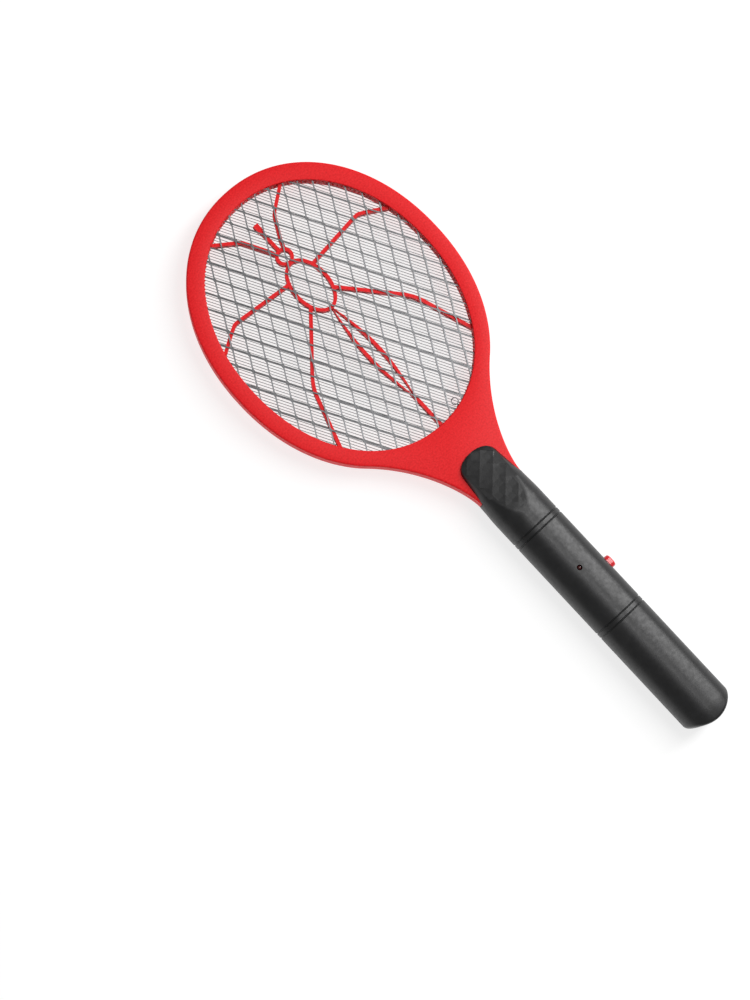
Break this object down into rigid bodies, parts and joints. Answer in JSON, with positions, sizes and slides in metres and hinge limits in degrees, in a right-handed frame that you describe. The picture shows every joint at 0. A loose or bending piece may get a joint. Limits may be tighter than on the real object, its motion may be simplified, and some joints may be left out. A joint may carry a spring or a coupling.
{
  "type": "electric fly swatter",
  "caption": "Battery-powered racket with a three-layer electric grid in an oval frame, a round handle with a push button, and a sliding battery cover.",
  "frame": {"origin": "under the middle of the overall length, on the surface that the back of the handle lies on", "axes": "+Y towards the head's top, +Z out of the front face, +X to the right seen from the front (the button's side)"},
  "size_m": [0.1644, 0.44, 0.03],
  "materials": {
    "red_plastic": "red ABS moulding with a fine leather grain",
    "black_plastic": "black ABS moulding, satin",
    "button_plastic": "polished red moulding",
    "grid_metal": "expanded metal, bright",
    "wire_metal": "fine tinned wire",
    "screw_steel": "black zinc screws and eyelet",
    "contact_metal": "nickel-plated sheet and spring wire",
    "led_lens": "tinted clear lens",
    "board_laminate": "green solder mask",
    "ferrite": "grey-black ferrite",
    "winding": "taped winding",
    "film_capacitor": "dipped resin",
    "component_black": "moulded epoxy",
    "resistor_body": "lacquered film resistor",
    "switch_nylon": "white nylon",
    "cell_jacket": "printed-film jacket, plain",
    "lead_red": "PVC insulation",
    "lead_black": "PVC insulation"
  },
  "bodies": {
    "racket": {"battery_left": "cell_jacket", "battery_right": "cell_jacket", "board_resistor_1": "resistor_body", "board_resistor_2": "resistor_body", "circuit_board": "board_laminate", "contact_bridge": "contact_metal", "contact_negative": "contact_metal", "contact_positive": "contact_metal", "frame_front": "red_plastic", "frame_rear": "red_plastic", "grid_center": "wire_metal", "grid_front": "grid_metal", "grid_rear": "grid_metal", "ground_eyelet": "screw_steel", "ground_lead": "lead_black", "handle_front": "black_plastic", "handle_rear": "black_plastic", "handle_screw": "screw_steel", "hv_capacitor": "film_capacitor", "hv_lead": "lead_red", "hv_terminal": "contact_metal", "indicator_led": "led_lens", "lead_negative": "lead_black", "lead_positive": "lead_red", "oscillator_transistor": "component_black", "rectifier_diode_1": "component_black", "rectifier_diode_2": "component_black", "rectifier_diode_3": "component_black", "rib_spacer_front": "red_plastic", "rib_spacer_rear": "red_plastic", "spring_lower": "contact_metal", "spring_upper": "contact_metal", "storage_capacitor": "film_capacitor", "switch_body": "component_black", "tongue_screw_left": "screw_steel", "tongue_screw_right": "screw_steel", "tongue_screw_top": "screw_steel", "transformer_core": "ferrite", "transformer_winding": "winding"},
    "trigger": {"trigger_button": "button_plastic", "switch_plunger": "switch_nylon"},
    "cover": {"battery_cover": "black_plastic", "cover_screw": "screw_steel"}
  },
  "joints": [
    {"name": "button_press", "type": "slide", "parent": "racket", "child": "trigger", "axis": [-1, 0, 0], "range_m": [0, 0.0016], "stiffness_N_per_m": 800},
    {"name": "cover_slide", "type": "slide", "parent": "racket", "child": "cover", "axis": [0, -1, 0], "range_m": [0, 0.09]}
  ]
}
